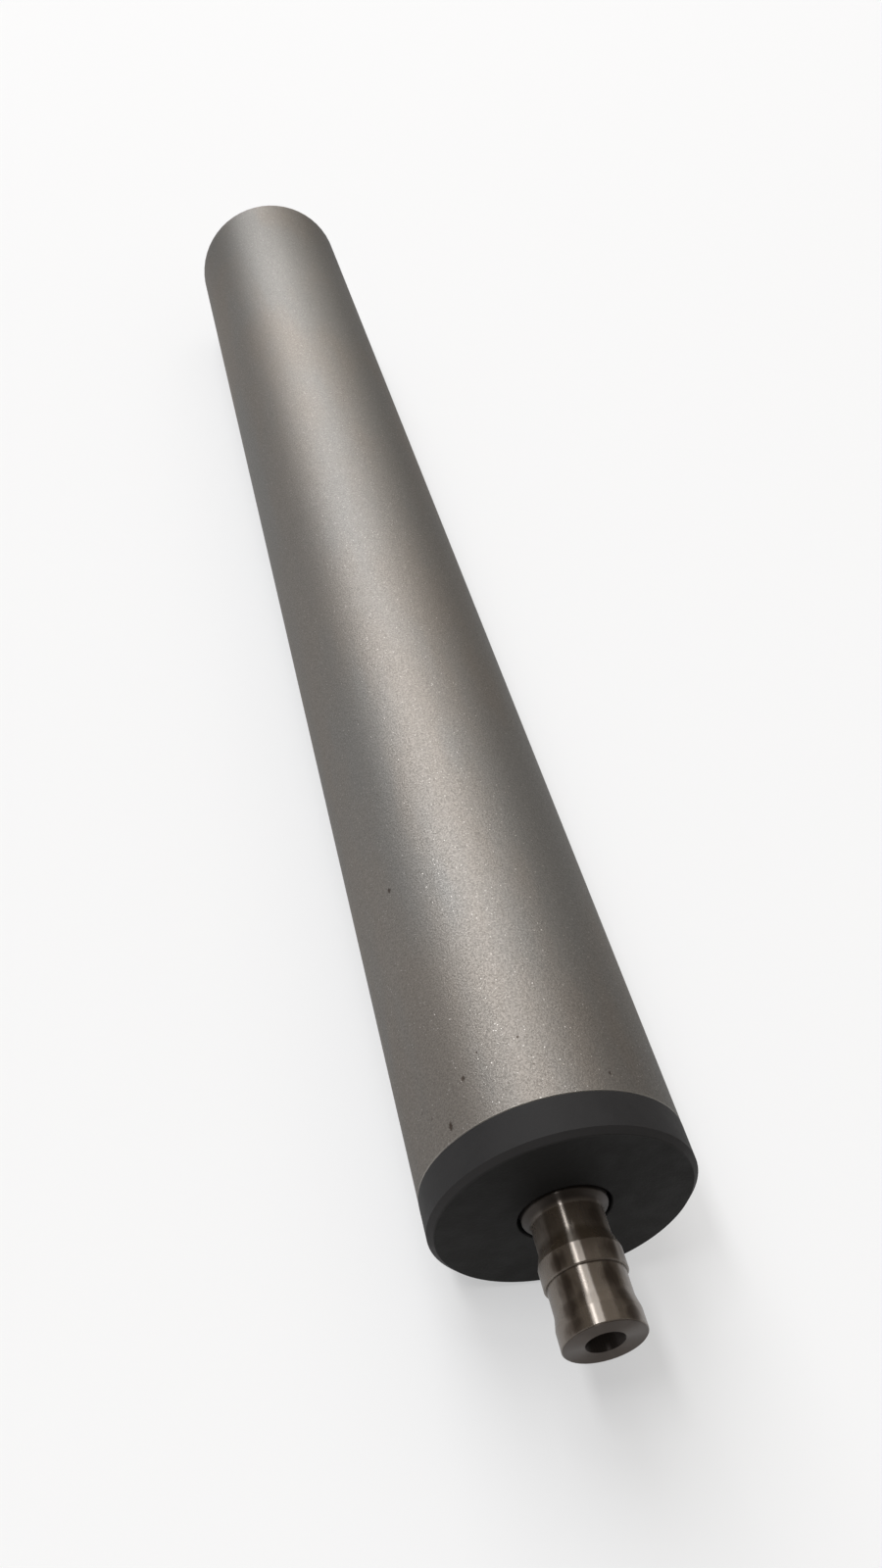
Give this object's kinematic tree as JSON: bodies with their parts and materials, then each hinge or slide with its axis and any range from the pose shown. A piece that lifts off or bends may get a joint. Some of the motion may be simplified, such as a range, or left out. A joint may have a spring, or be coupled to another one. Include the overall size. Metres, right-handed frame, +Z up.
{
  "type": "fountain roller",
  "caption": "Grained metal roller with a dark flanged end cap, a plain rear cap and a through shaft with stepped, flared and grooved journals.",
  "frame": {"origin": "on the roller axis, halfway between the outer faces of the two end caps", "axes": "+Y along the roller axis, from the flanged front cap to the rear cap; +Z up; the roller lies level, as it runs"},
  "size_m": [0.056, 0.503, 0.056],
  "materials": {
    "grained_face": "fine grained matt plating with a soft sheen and a few pits near the front end",
    "dark_cap": "matt dark grey, smooth",
    "journal_steel": "ground and polished, with brown stains"
  },
  "bodies": {
    "root": {"roller_tube": "grained_face", "front_end_cap": "dark_cap", "rear_end_cap": "dark_cap", "shaft": "journal_steel"}
  },
  "joints": []
}
